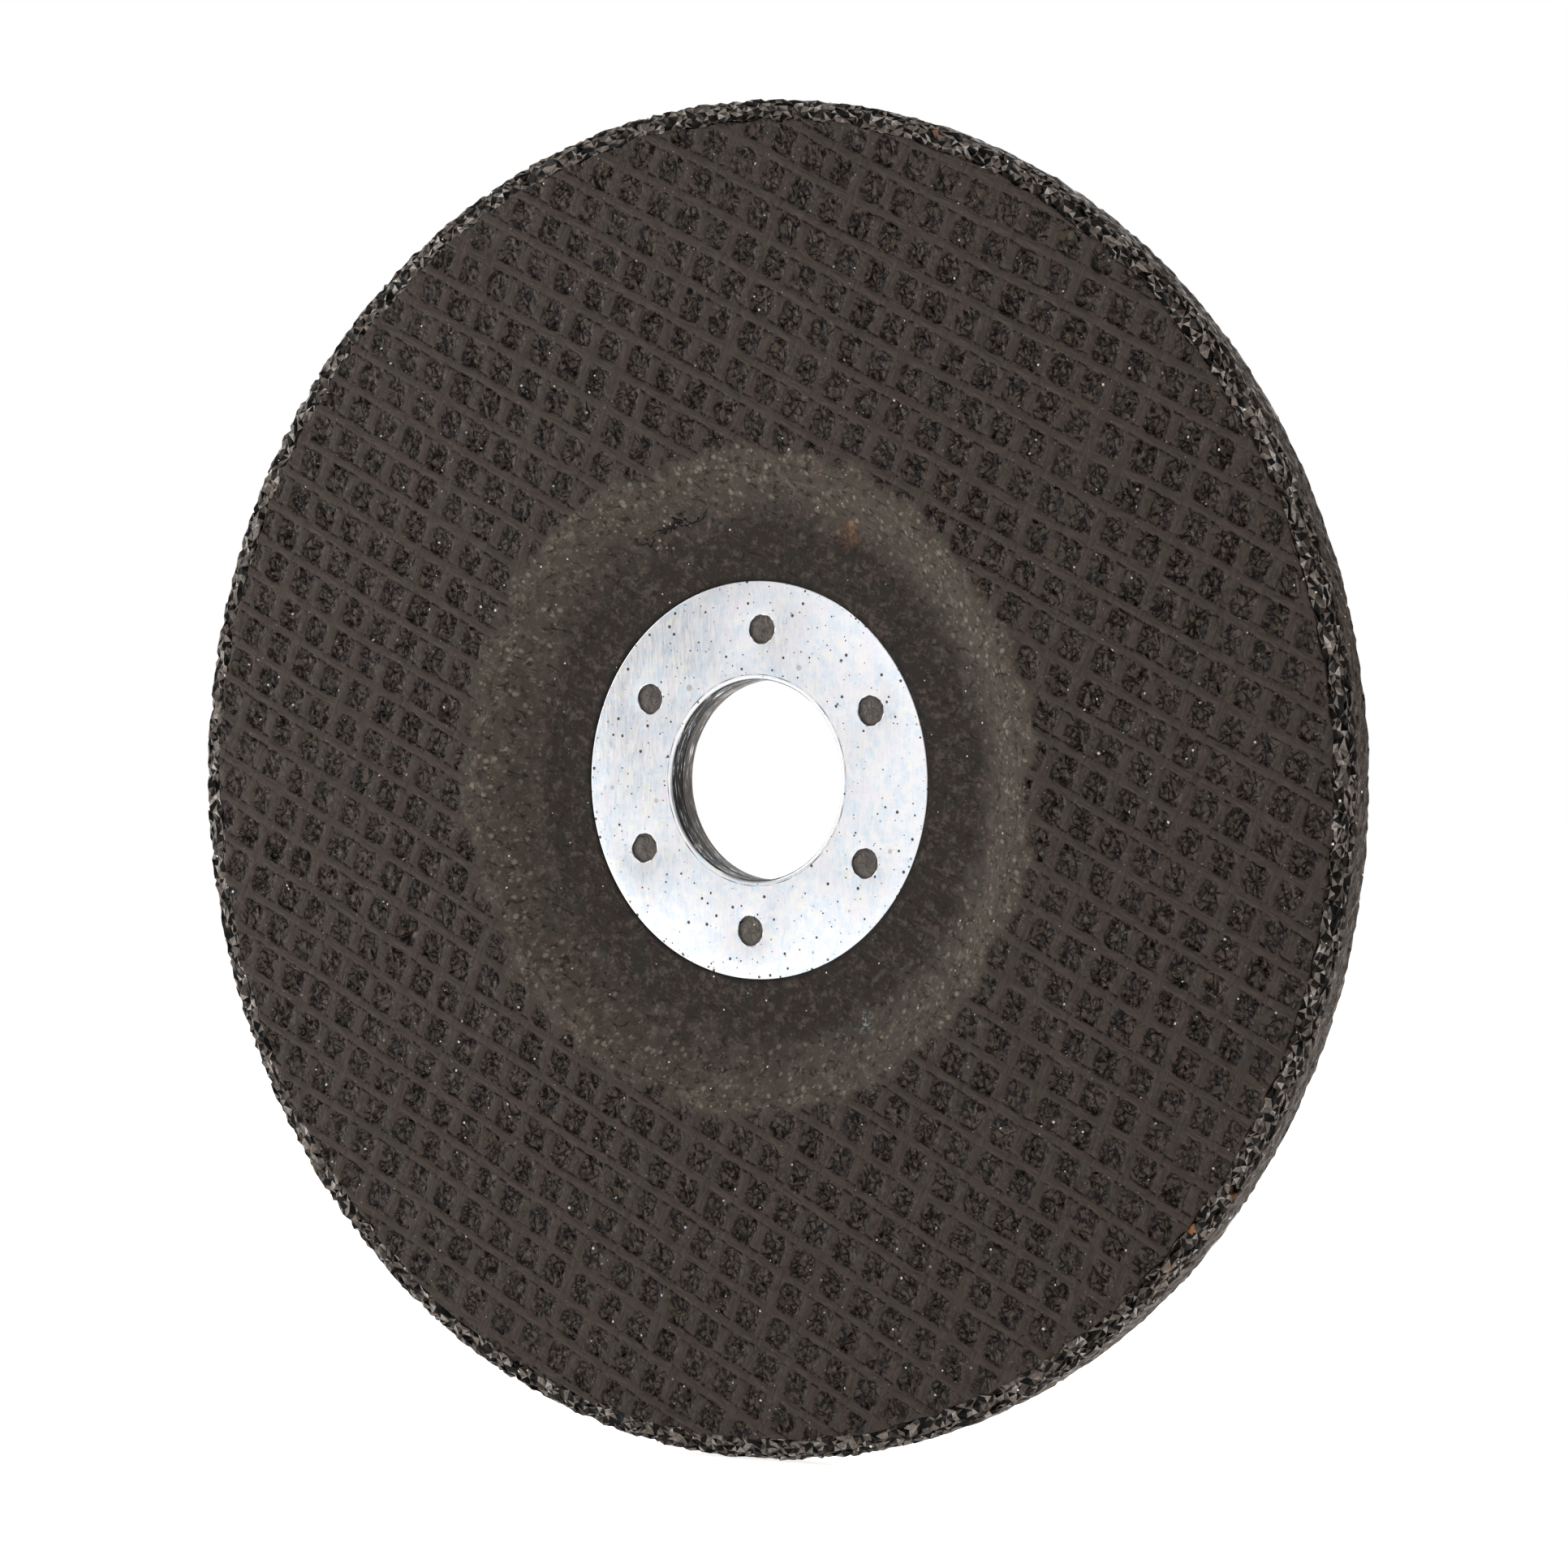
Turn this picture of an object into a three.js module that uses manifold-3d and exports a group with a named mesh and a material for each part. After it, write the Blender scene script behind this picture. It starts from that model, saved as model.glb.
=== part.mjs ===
// A depressed-centre grinding disc for an angle grinder.
//
// It is a stack of layers pressed round a spindle bore: a glass mesh, two layers of bonded grain with a
// second mesh between them, a third mesh, a paper label, and a steel hub ring on each side.
//
// The disc stands upright and spins about Y. Its working face looks along -Y, and the origin is on the
// axis, half-way between the working face and the face of the rear ring. All sizes are in millimetres.
// A depth is counted from the working face towards the back, along +Y.

import * as THREE from "three";
import { mergeVertices } from "three/addons/utils/BufferGeometryUtils.js";
import Module from "manifold-3d";

// Driving sizes
const DISC_RADIUS = 75;
const DISC_THICKNESS = 4.4;
const OVERALL_DEPTH = 7.9;
const RECESS_DEPTH = 3.5;
const BORE_RADIUS = 11.115;

// Steel hub rings: one stamping, used twice
const RING_RADIUS = 22.1;
const SHEET_THICKNESS = 0.5;
const COLLAR_LENGTH = 2;
const RING_HOLE_COUNT = 6;
const RING_HOLE_RADIUS = 1.65;
const RING_HOLE_CIRCLE = 16.73;
const FIRST_HOLE_ANGLE = THREE.MathUtils.degToRad(87);

// Lumps of grain that fill the front ring's holes
const LUMP_CLEARANCE = 0.3;
const LUMP_SINK = 0.15;

// Layers. A hub depth is where the layer lies round the bore, inside the bend.
const MESH_THICKNESS = 0.5;
const MIDDLE_MESH_THICKNESS = 0.3;
const MIDDLE_MESH_DEPTH = 2.05;
const MIDDLE_MESH_HUB_DEPTH = 5.5;
const LABEL_THICKNESS = 0.15;
const RING_ABOVE_LABEL = 0.1;

// Where the disc bends down to its hub
const RECESS_FLOOR_RADIUS = 28.5;
const RECESS_LIP_RADIUS = 36.5;
const REAR_HUB_RADIUS = 31;
const REAR_CONE_RADIUS = 38.5;

// Edges of the layers, and the rim: rounded in front, with a small corner behind
const MESH_RADIUS = 72.3;
const MIDDLE_MESH_RADIUS = 73.5;
const LABEL_RADIUS = 62;
const RIM_START_DEPTH = 0.15;
const RIM_SHOULDER_DEPTH = 0.9;
const REAR_CORNER = 0.5;

// Smoothness
const DISC_SEGMENTS = 60;
const BEND_STEPS = 4;
const RIM_STEPS = 3;
const HOLE_SEGMENTS = 20;
const MERGE_DISTANCE = 1e-5;

// Sizes that follow from the ones above
const COLLAR_RADIUS = BORE_RADIUS + SHEET_THICKNESS;
const REAR_RING_BACK = OVERALL_DEPTH - SHEET_THICKNESS;
const REAR_MESH_DEPTH = DISC_THICKNESS - MESH_THICKNESS;
const LABEL_HUB_DEPTH = OVERALL_DEPTH - RING_ABOVE_LABEL - LABEL_THICKNESS;

const wasm = await Module();
wasm.setup();

// Geometry helpers

// Turns a depth behind the working face into a place along Y.
function placeAt(depth) {
  return depth - OVERALL_DEPTH / 2;
}

// Leaves only positions and joins the vertices that lie on each other, which makes a surface closed.
function closed(geometry) {
  geometry.deleteAttribute("normal");
  geometry.deleteAttribute("uv");
  return mergeVertices(geometry, MERGE_DISTANCE);
}

// Turns an outline of [radius, depth] points about the axis of the disc.
function revolve(outline) {
  const points = outline.map(([radius, depth]) => new THREE.Vector2(radius, placeAt(depth)));
  if (THREE.ShapeUtils.area(points) < 0) points.reverse();
  points.push(points[0].clone());
  return closed(new THREE.LatheGeometry(points, DISC_SEGMENTS));
}

// A round pin along the axis of the disc, between two depths, on the circle of the ring's holes.
function pinOnHoleCircle(index, radius, startDepth, endDepth) {
  const angle = FIRST_HOLE_ANGLE + (index * 2 * Math.PI) / RING_HOLE_COUNT;
  const pin = new THREE.CylinderGeometry(radius, radius, endDepth - startDepth, HOLE_SEGMENTS);
  pin.translate(
    RING_HOLE_CIRCLE * Math.cos(angle),
    placeAt((startDepth + endDepth) / 2),
    RING_HOLE_CIRCLE * Math.sin(angle),
  );
  return closed(pin);
}

function toManifold(geometry) {
  const vertProperties = new Float32Array(geometry.attributes.position.array);
  const triVerts = new Uint32Array(geometry.index.array);
  return new wasm.Manifold(new wasm.Mesh({ numProp: 3, vertProperties, triVerts }));
}

function toGeometry(manifold) {
  const mesh = manifold.getMesh();
  const geometry = new THREE.BufferGeometry();
  geometry.setAttribute("position", new THREE.BufferAttribute(mesh.vertProperties, 3));
  geometry.setIndex(new THREE.BufferAttribute(mesh.triVerts, 1));
  return geometry;
}

// Interfaces between layers: lists of [radius, depth] points from the bore outwards.

// The smooth bend from one level near the hub to another level further out.
function bend(innerRadius, innerDepth, outerRadius, outerDepth) {
  const points = [];
  for (let step = 0; step <= BEND_STEPS; step += 1) {
    const along = step / BEND_STEPS;
    const eased = (1 - Math.cos(Math.PI * along)) / 2;
    points.push([
      THREE.MathUtils.lerp(innerRadius, outerRadius, along),
      THREE.MathUtils.lerp(innerDepth, outerDepth, eased),
    ]);
  }
  return points;
}

// Front of the recess: the floor beside the ring, then the shoulder up to the working face.
const recessFace = [
  [RING_RADIUS, RECESS_DEPTH],
  ...bend(RECESS_FLOOR_RADIUS, RECESS_DEPTH, RECESS_LIP_RADIUS, 0),
];

// Front and rear of the middle mesh.
const middleMeshFront = [
  [COLLAR_RADIUS, MIDDLE_MESH_HUB_DEPTH],
  ...bend(REAR_HUB_RADIUS, MIDDLE_MESH_HUB_DEPTH, REAR_CONE_RADIUS, MIDDLE_MESH_DEPTH),
];
const middleMeshRear = middleMeshFront.map(([radius, depth]) => [radius, depth + MIDDLE_MESH_THICKNESS]);

// Front and rear of the rear mesh, which the rear ring presses down round the bore.
const pressedDown = LABEL_HUB_DEPTH - REAR_RING_BACK;
const rearMeshRear = [
  [COLLAR_RADIUS, REAR_RING_BACK],
  [RING_RADIUS, REAR_RING_BACK],
  [RING_RADIUS, LABEL_HUB_DEPTH],
  ...bend(REAR_HUB_RADIUS, LABEL_HUB_DEPTH, REAR_CONE_RADIUS, DISC_THICKNESS),
];
const rearMeshFront = [
  [COLLAR_RADIUS, REAR_RING_BACK - MESH_THICKNESS],
  [RING_RADIUS, REAR_RING_BACK - MESH_THICKNESS],
  [RING_RADIUS + pressedDown, LABEL_HUB_DEPTH - MESH_THICKNESS],
  ...bend(REAR_HUB_RADIUS, LABEL_HUB_DEPTH - MESH_THICKNESS, REAR_CONE_RADIUS, REAR_MESH_DEPTH),
];

// Rim of the two grain layers: a quarter of an ellipse in front, and the small corner behind.
const rimFront = [[MESH_RADIUS, MESH_THICKNESS]];
for (let step = 0; step <= RIM_STEPS; step += 1) {
  const angle = ((Math.PI / 2) * step) / RIM_STEPS;
  rimFront.push([
    THREE.MathUtils.lerp(MESH_RADIUS, DISC_RADIUS, Math.sin(angle)),
    THREE.MathUtils.lerp(RIM_START_DEPTH, RIM_SHOULDER_DEPTH, 1 - Math.cos(angle)),
  ]);
}
const rimRear = [
  [DISC_RADIUS, DISC_THICKNESS - REAR_CORNER],
  [DISC_RADIUS - REAR_CORNER, DISC_THICKNESS],
  [MESH_RADIUS, DISC_THICKNESS],
  [MESH_RADIUS, REAR_MESH_DEPTH],
];

// Pieces

// A stamped ring: a flat flange from its face inwards, and a collar drawn into the bore.
function hubRing(faceDepth, inwards) {
  const flangeBack = faceDepth + inwards * SHEET_THICKNESS;
  const collarEnd = faceDepth + inwards * COLLAR_LENGTH;
  let ring = toManifold(
    revolve([
      [BORE_RADIUS, faceDepth],
      [RING_RADIUS, faceDepth],
      [RING_RADIUS, flangeBack],
      [COLLAR_RADIUS, flangeBack],
      [COLLAR_RADIUS, collarEnd],
      [BORE_RADIUS, collarEnd],
    ]),
  );
  const cutLow = Math.min(faceDepth, flangeBack) - 1;
  const cutHigh = Math.max(faceDepth, flangeBack) + 1;
  for (let index = 0; index < RING_HOLE_COUNT; index += 1) {
    ring = ring.subtract(toManifold(pinOnHoleCircle(index, RING_HOLE_RADIUS, cutLow, cutHigh)));
  }
  return toGeometry(ring);
}

function frontGlassMesh() {
  return revolve([
    [RECESS_LIP_RADIUS, 0],
    [MESH_RADIUS, 0],
    [MESH_RADIUS, MESH_THICKNESS],
    [RECESS_LIP_RADIUS, MESH_THICKNESS],
  ]);
}

function frontGrainLayer() {
  const underRing = RECESS_DEPTH + SHEET_THICKNESS;
  let layer = toManifold(
    revolve([
      [COLLAR_RADIUS, underRing],
      [RING_RADIUS, underRing],
      ...recessFace,
      [RECESS_LIP_RADIUS, MESH_THICKNESS],
      ...rimFront,
      [DISC_RADIUS, MIDDLE_MESH_DEPTH],
      ...middleMeshFront.toReversed(),
    ]),
  );
  const lumpRadius = RING_HOLE_RADIUS - LUMP_CLEARANCE;
  for (let index = 0; index < RING_HOLE_COUNT; index += 1) {
    const lump = pinOnHoleCircle(index, lumpRadius, RECESS_DEPTH + LUMP_SINK, underRing + SHEET_THICKNESS);
    layer = layer.add(toManifold(lump));
  }
  return toGeometry(layer);
}

function middleGlassMesh() {
  return revolve([
    ...middleMeshFront,
    [MIDDLE_MESH_RADIUS, MIDDLE_MESH_DEPTH],
    [MIDDLE_MESH_RADIUS, MIDDLE_MESH_DEPTH + MIDDLE_MESH_THICKNESS],
    ...middleMeshRear.toReversed(),
  ]);
}

function rearGrainLayer() {
  return revolve([
    ...middleMeshRear,
    [MIDDLE_MESH_RADIUS, MIDDLE_MESH_DEPTH + MIDDLE_MESH_THICKNESS],
    [MIDDLE_MESH_RADIUS, MIDDLE_MESH_DEPTH],
    [DISC_RADIUS, MIDDLE_MESH_DEPTH],
    ...rimRear,
    ...rearMeshFront.toReversed(),
  ]);
}

function rearGlassMesh() {
  return revolve([
    ...rearMeshFront,
    [MESH_RADIUS, REAR_MESH_DEPTH],
    [MESH_RADIUS, DISC_THICKNESS],
    ...rearMeshRear.toReversed(),
  ]);
}

// The label lies on the rear mesh, from the edge of the ring outwards.
function rearLabel() {
  const front = rearMeshRear.slice(2);
  front.push([LABEL_RADIUS, DISC_THICKNESS]);
  const rear = front.map(([radius, depth]) => [radius, depth + LABEL_THICKNESS]);
  return revolve([...front, ...rear.toReversed()]);
}

// Assembly

const steel = { color: 0xdfe4ec, roughness: 0.35, metalness: 1 };
const resinGlass = { color: 0x3e3733, roughness: 0.7, metalness: 0 };
const grain = { color: 0x2c2a29, roughness: 0.6, metalness: 0 };
const paper = { color: 0xd9d6cf, roughness: 0.9, metalness: 0 };

const disc = new THREE.Group();

function addPiece(name, geometry, look) {
  const piece = new THREE.Mesh(geometry, new THREE.MeshStandardMaterial(look));
  piece.name = name;
  disc.add(piece);
}

addPiece("front_hub_ring", hubRing(RECESS_DEPTH, 1), steel);
addPiece("front_glass_mesh", frontGlassMesh(), resinGlass);
addPiece("front_grain_layer", frontGrainLayer(), grain);
addPiece("middle_glass_mesh", middleGlassMesh(), resinGlass);
addPiece("rear_grain_layer", rearGrainLayer(), grain);
addPiece("rear_glass_mesh", rearGlassMesh(), resinGlass);
addPiece("rear_label", rearLabel(), paper);
addPiece("rear_hub_ring", hubRing(OVERALL_DEPTH, -1), steel);

export default disc;
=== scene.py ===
import math

import bmesh
import bpy
import numpy as np
from mathutils import Matrix, Vector
from mathutils.geometry import delaunay_2d_cdt


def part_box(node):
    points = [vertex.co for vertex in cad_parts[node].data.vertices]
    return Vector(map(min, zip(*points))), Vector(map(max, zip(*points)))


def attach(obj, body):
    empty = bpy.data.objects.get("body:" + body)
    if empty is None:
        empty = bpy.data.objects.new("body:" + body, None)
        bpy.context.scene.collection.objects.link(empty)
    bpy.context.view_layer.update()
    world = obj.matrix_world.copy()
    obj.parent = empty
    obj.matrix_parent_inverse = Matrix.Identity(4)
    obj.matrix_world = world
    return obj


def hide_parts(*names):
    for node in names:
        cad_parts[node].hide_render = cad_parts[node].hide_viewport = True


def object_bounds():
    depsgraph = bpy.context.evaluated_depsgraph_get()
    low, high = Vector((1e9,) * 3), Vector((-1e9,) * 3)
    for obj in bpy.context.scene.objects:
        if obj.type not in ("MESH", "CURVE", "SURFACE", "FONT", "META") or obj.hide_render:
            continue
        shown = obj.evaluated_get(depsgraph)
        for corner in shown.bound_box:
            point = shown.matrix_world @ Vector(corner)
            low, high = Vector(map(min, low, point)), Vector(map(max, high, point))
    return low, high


# A depressed-centre grinding disc, built in millimetres and scaled to metres. A depth is counted from
# the working face towards the back, along +Y. A bearing is an angle round the axis, from +X towards +Z.

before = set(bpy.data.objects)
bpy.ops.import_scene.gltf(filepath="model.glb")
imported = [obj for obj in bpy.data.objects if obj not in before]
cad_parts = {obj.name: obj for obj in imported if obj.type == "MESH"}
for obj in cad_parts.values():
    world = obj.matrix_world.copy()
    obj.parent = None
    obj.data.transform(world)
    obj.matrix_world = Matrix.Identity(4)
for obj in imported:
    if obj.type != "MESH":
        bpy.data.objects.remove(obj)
cad_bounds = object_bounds()

MM = 0.001


def millimetres(node):
    """The lowest and highest corner of a CAD node, in millimetres."""
    low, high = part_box(node)
    return np.array(low) / MM, np.array(high) / MM


FACE_Y = millimetres("front_glass_mesh")[0][1]


def span(node):
    """The outer radius of a CAD node, and its front and back depth."""
    low, high = millimetres(node)
    return high[0], low[1] - FACE_Y, high[1] - FACE_Y


DISC_RADIUS, _, _ = span("front_grain_layer")
MESH_RADIUS, _, _ = span("front_glass_mesh")
RING_RADIUS, RECESS_DEPTH, FRONT_COLLAR_END = span("front_hub_ring")
_, REAR_COLLAR_END, OVERALL_DEPTH = span("rear_hub_ring")
LABEL_RADIUS, _, LABEL_HUB_DEPTH = span("rear_label")
MIDDLE_DEPTH = span("middle_glass_mesh")[1]
BORE_RADIUS = 11.115
SHEET_THICKNESS = 0.5
COLLAR_RADIUS = BORE_RADIUS + SHEET_THICKNESS
BACK_DEPTH = OVERALL_DEPTH - RECESS_DEPTH
RECESS_FLOOR_RADIUS = 28.5
RECESS_LIP_RADIUS = 36.5
REAR_HUB_RADIUS = 31
REAR_CONE_RADIUS = 38.5

HOLE_COUNT = 6
HOLE_RADIUS = 1.65
HOLE_CIRCLE = 16.73
FIRST_HOLE = math.radians(87)
HOLE_LIP = ((0.16, 0.0), (0.09, 0.008), (0.02, 0.05), (0, 0.12), (0, 0.44), (0.1, SHEET_THICKNESS))
ROLL_RADIUS = 0.42
ROLL_STEPS = 8
RING_COLUMNS = 320
PLUG_RADIUS = 1.78
PLUG_FALL = 0.26
PLUG_WALL = 0.5
PLUG_HEIGHT = 0.8
PLUG_RINGS = 6
PLUG_POINTS = 22

# The woven glass: two families of ribs, each with its spacing, the direction that it is counted along,
# where one rib lies, and half its width at its crest and at its foot. Then how far points stray, and how
# far they are sunk, in the cells between ribs, at the foot of a rib, and on it.
WIDE_RIBS = {"pitch": 4.23, "bearing": -23.53, "offset": 1.14, "crest": 0.53, "foot": 0.78}
THIN_RIBS = {"pitch": 4.21, "bearing": 63.55, "offset": 0.17, "crest": 0.34, "foot": 0.56}
REAR_WIDE_RIBS = {**WIDE_RIBS, "bearing": 12.0, "offset": 0.4}
REAR_THIN_RIBS = {**THIN_RIBS, "bearing": 101.0, "offset": 1.3}
CELL_STEPS = 6
CREASE_WIDTH = 0.16
CELL_STRAY, FOOT_STRAY, RIB_STRAY = 0.17, 0.06, 0.025
CELL_SUNK, FOOT_SUNK, RIB_SUNK = 0.36, 0.19, 0.03
CROSSING_STEP = 0.05
CREASE_SUNK = 0.16
WEAVE_START_RADIUS = 35.2
WEAVE_END_RADIUS = MESH_RADIUS + 0.25
WEAVE_THICKNESS = 1.4
REAR_WEAVE_THICKNESS = 1.0
EDGE_RAGGED = 0.4

# Noise and meshes


def value_noise(x, y, size, seed):
    """Smooth noise between -1 and 1, whose bumps are about `size` wide."""
    table = np.random.default_rng(seed).uniform(-1, 1, (256, 256))
    x = np.asarray(x) / size
    y = np.asarray(y) / size
    column = np.floor(x).astype(int)
    row = np.floor(y).astype(int)
    across = x - column
    up = y - row
    across = across * across * (3 - 2 * across)
    up = up * up * (3 - 2 * up)
    left = table[column % 256, row % 256] * (1 - up) + table[column % 256, (row + 1) % 256] * up
    right = table[(column + 1) % 256, row % 256] * (1 - up) + table[(column + 1) % 256, (row + 1) % 256] * up
    return left * (1 - across) + right * across


def rough_noise(x, y, size, seed, octaves=3):
    """Noise with finer bumps on its bumps."""
    total = 0
    for octave in range(octaves):
        total = total + value_noise(x, y, size / 2**octave, seed + octave) / 2**octave
    return total / 1.75


def smooth_step(value, low, high):
    part = np.clip((value - low) / (high - low), 0, 1)
    return part * part * (3 - 2 * part)


def mesh_object(name, points, triangles, flat, values=None):
    """A mesh from points in millimetres, triangles, and which triangles are flat shaded.

    values holds attributes of the points. Every triangle also gets a random tone called "facet".
    """
    mesh = bpy.data.meshes.new(name)
    mesh.vertices.add(len(points))
    mesh.vertices.foreach_set("co", np.ascontiguousarray(points * MM, dtype=np.float32).ravel())
    mesh.loops.add(3 * len(triangles))
    mesh.loops.foreach_set("vertex_index", np.ascontiguousarray(triangles, dtype=np.int32).ravel())
    mesh.polygons.add(len(triangles))
    mesh.polygons.foreach_set("loop_start", np.arange(0, 3 * len(triangles), 3, dtype=np.int32))
    mesh.polygons.foreach_set("use_smooth", np.logical_not(np.broadcast_to(flat, len(triangles))))
    for key, value in (values or {}).items():
        layer = mesh.attributes.new(key, "FLOAT", "POINT")
        layer.data.foreach_set("value", np.ascontiguousarray(value, dtype=np.float32))
    tones = np.random.default_rng(len(triangles)).random(len(triangles))
    layer = mesh.attributes.new("facet", "FLOAT", "FACE")
    layer.data.foreach_set("value", tones.astype(np.float32))
    mesh.update(calc_edges=True)
    mesh.validate()
    work = bmesh.new()
    work.from_mesh(mesh)
    bmesh.ops.recalc_face_normals(work, faces=work.faces)
    work.to_mesh(mesh)
    work.free()
    piece = bpy.data.objects.new(name, mesh)
    bpy.context.scene.collection.objects.link(piece)
    return piece


def at(radius, bearing, depth):
    """Points in the frame from radius, bearing and depth."""
    radius, bearing, depth = np.broadcast_arrays(radius, bearing, depth)
    return np.stack([radius * np.cos(bearing), depth + FACE_Y, radius * np.sin(bearing)], axis=-1)


def split_quads(corner, right, up, across, swap):
    """Two triangles for each quad, cut along one diagonal or the other."""
    first = np.where(swap[:, None], np.stack([corner, right, up], 1), np.stack([corner, right, across], 1))
    second = np.where(swap[:, None], np.stack([right, across, up], 1), np.stack([corner, across, up], 1))
    return np.concatenate([first, second])


def band(low, high):
    """Triangles between two closed rings of points that lie side by side."""
    low_ahead, high_ahead = np.roll(low, -1), np.roll(high, -1)
    return np.concatenate([np.stack([low, low_ahead, high_ahead], 1), np.stack([low, high_ahead, high], 1)])


def bands(start, rings, size):
    """Triangles between each ring of points and the next, where the points are numbered from start."""
    index = start + np.arange(rings * size).reshape(rings, size)
    return np.concatenate([band(low, high) for low, high in zip(index, index[1:])])


def shell(name, shown, hidden, columns, relief, wander, coarse, seed):
    """A closed ring swept round the axis.

    Its profile is a closed loop of [radius, depth]: the rows that show, and then the hidden ones, which
    stay plain. relief(radius, bearing, depth) says how far the shown skin is pushed out, and wander how
    far a point strays, as a part of its spacing. A coarse skin is flat shaded.
    """
    rng = np.random.default_rng(seed)
    profile = np.array(shown + hidden, dtype=float)
    rows = len(profile)
    skin = np.arange(rows) < len(shown)
    forward = np.roll(profile, -1, axis=0) - profile
    backward = profile - np.roll(profile, 1, axis=0)
    tangent = forward * (np.roll(skin, -1) | ~skin)[:, None] + backward * (np.roll(skin, 1) | ~skin)[:, None]
    tangent = tangent / np.linalg.norm(tangent, axis=1)[:, None]
    radius, depth = profile.T
    turn = np.sign(np.sum(radius * np.roll(depth, -1) - np.roll(radius, -1) * depth))
    outward = np.stack([tangent[:, 1], -tangent[:, 0]], 1) * turn
    spacing = np.minimum(np.linalg.norm(forward, axis=1), np.linalg.norm(backward, axis=1))
    stray = wander * (skin & np.roll(skin, 1) & np.roll(skin, -1))
    bearing = np.arange(columns) * 2 * math.pi / columns
    along = rng.uniform(-1, 1, (rows, columns)) * (stray * spacing)[:, None]
    around = rng.uniform(-1, 1, (rows, columns)) * stray[:, None] * 2 * math.pi / columns
    bearing = bearing[None, :] + around
    ring = radius[:, None] + tangent[:, 0][:, None] * along
    deep = depth[:, None] + tangent[:, 1][:, None] * along
    push = np.where(skin[:, None], relief(ring, bearing, deep), 0)
    ring = ring + outward[:, 0][:, None] * push
    # nothing stands in front of the working face
    deep = np.maximum(deep + outward[:, 1][:, None] * push, 0)
    points = at(ring, bearing, deep).reshape(-1, 3)
    row, column = np.meshgrid(np.arange(rows), np.arange(columns), indexing="ij")
    index = row * columns + column
    right = row * columns + (column + 1) % columns
    up = (row + 1) % rows * columns + column
    across = (row + 1) % rows * columns + (column + 1) % columns
    swap = rng.random(index.size) < 0.5
    triangles = split_quads(index.ravel(), right.ravel(), up.ravel(), across.ravel(), swap)
    flat = np.tile(np.repeat(skin & coarse, columns), 2)
    return mesh_object(name, points, triangles, flat, {"relief": push.ravel()})


def stations(start, end, step):
    """Evenly spaced points on a line between two profile points, without the last."""
    start, end = np.array(start, dtype=float), np.array(end, dtype=float)
    count = max(1, round(float(np.linalg.norm(end - start)) / step))
    return [tuple(start + (end - start) * i / count) for i in range(count)]


def bend(inner_radius, inner_depth, outer_radius, outer_depth, count):
    """The smooth bend from one level to another, without its last point."""
    points = []
    for i in range(count):
        part = i / count
        eased = (1 - math.cos(math.pi * part)) / 2
        points.append((
            inner_radius + (outer_radius - inner_radius) * part,
            inner_depth + (outer_depth - inner_depth) * eased,
        ))
    return points


# The front of the disc


def recess_depth(radius):
    """How deep the face lies, before any grain: the floor of the recess, the shoulder, the working face."""
    part = np.clip((radius - RECESS_FLOOR_RADIUS) / (RECESS_LIP_RADIUS - RECESS_FLOOR_RADIUS), 0, 1)
    return RECESS_DEPTH * (1 + np.cos(math.pi * part)) / 2


def shoulder_lumps(x, z):
    """The relief of the bare grain: a smooth floor and a lumpy shoulder."""
    shoulder = smooth_step(np.hypot(x, z), 27.0, 31.0)
    lumps = rough_noise(x, z, 1.7, 31, 3)
    floor = 0.03 * rough_noise(x, z, 2.6, 35, 3)
    dents = np.minimum(0, value_noise(x, z, 2.3, 37) - 0.35) * 0.1
    return floor + shoulder * (0.2 * lumps - 0.17 + dents)


# The woven faces


CREST, FOOT, CELL, BESIDE = 0, 1, 2, 3


def rib_lines(ribs, reach, creased):
    """Where grid lines cross a family of ribs: crest, foot, cells, and beside the foot if it is creased."""
    crest, foot, pitch = ribs["crest"], ribs["foot"], ribs["pitch"]
    pattern = [(-foot, FOOT), (-crest, CREST), (crest, CREST), (foot, FOOT)]
    start = foot
    if creased:
        start = foot + CREASE_WIDTH
        pattern = [(-start, BESIDE), *pattern[:2], (0, CREST), *pattern[2:], (start, BESIDE)]
    pattern += [(place, CELL) for place in np.linspace(start, pitch - start, CELL_STEPS + 1)[1:-1]]
    kind = np.array([each for _, each in pattern])
    pattern = np.array([place for place, _ in pattern])
    periods = np.arange(-math.ceil(reach / pitch) - 1, math.ceil(reach / pitch) + 2)
    place = (periods[:, None] * pitch + pattern[None, :] + ribs["offset"]).ravel()
    number = np.repeat(periods, len(pattern))
    return place, np.tile(kind, len(periods)), number


def loop_by_bearing(points, triangles, radius):
    """The open border of a mesh near a radius, in order round the axis."""
    sides = np.concatenate([triangles[:, [0, 1]], triangles[:, [1, 2]], triangles[:, [2, 0]]])
    edges, uses = np.unique(np.sort(sides, axis=1), axis=0, return_counts=True)
    border = np.unique(edges[uses == 1])
    distance = np.hypot(points[border, 0], points[border, 2])
    border = border[np.abs(distance - radius) < 1]
    order = np.argsort(np.arctan2(points[border, 2], points[border, 0]))
    return border[order]


def zip_loops(points, outer, inner):
    """Triangles between two loops that go round the axis."""
    angle_out = np.arctan2(points[outer, 2], points[outer, 0])
    angle_in = np.arctan2(points[inner, 2], points[inner, 0])
    triangles = []
    i = j = 0
    while i < len(outer) or j < len(inner):
        next_out = angle_out[i + 1] if i + 1 < len(outer) else math.inf
        next_in = angle_in[j + 1] if j + 1 < len(inner) else math.inf
        step_out = i < len(outer) and (next_out <= next_in or j >= len(inner))
        here_out, here_in = outer[i % len(outer)], inner[j % len(inner)]
        if step_out:
            triangles.append((here_out, outer[(i + 1) % len(outer)], here_in))
            i += 1
        else:
            triangles.append((here_out, inner[(j + 1) % len(inner)], here_in))
            j += 1
    return np.array(triangles)


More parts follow.
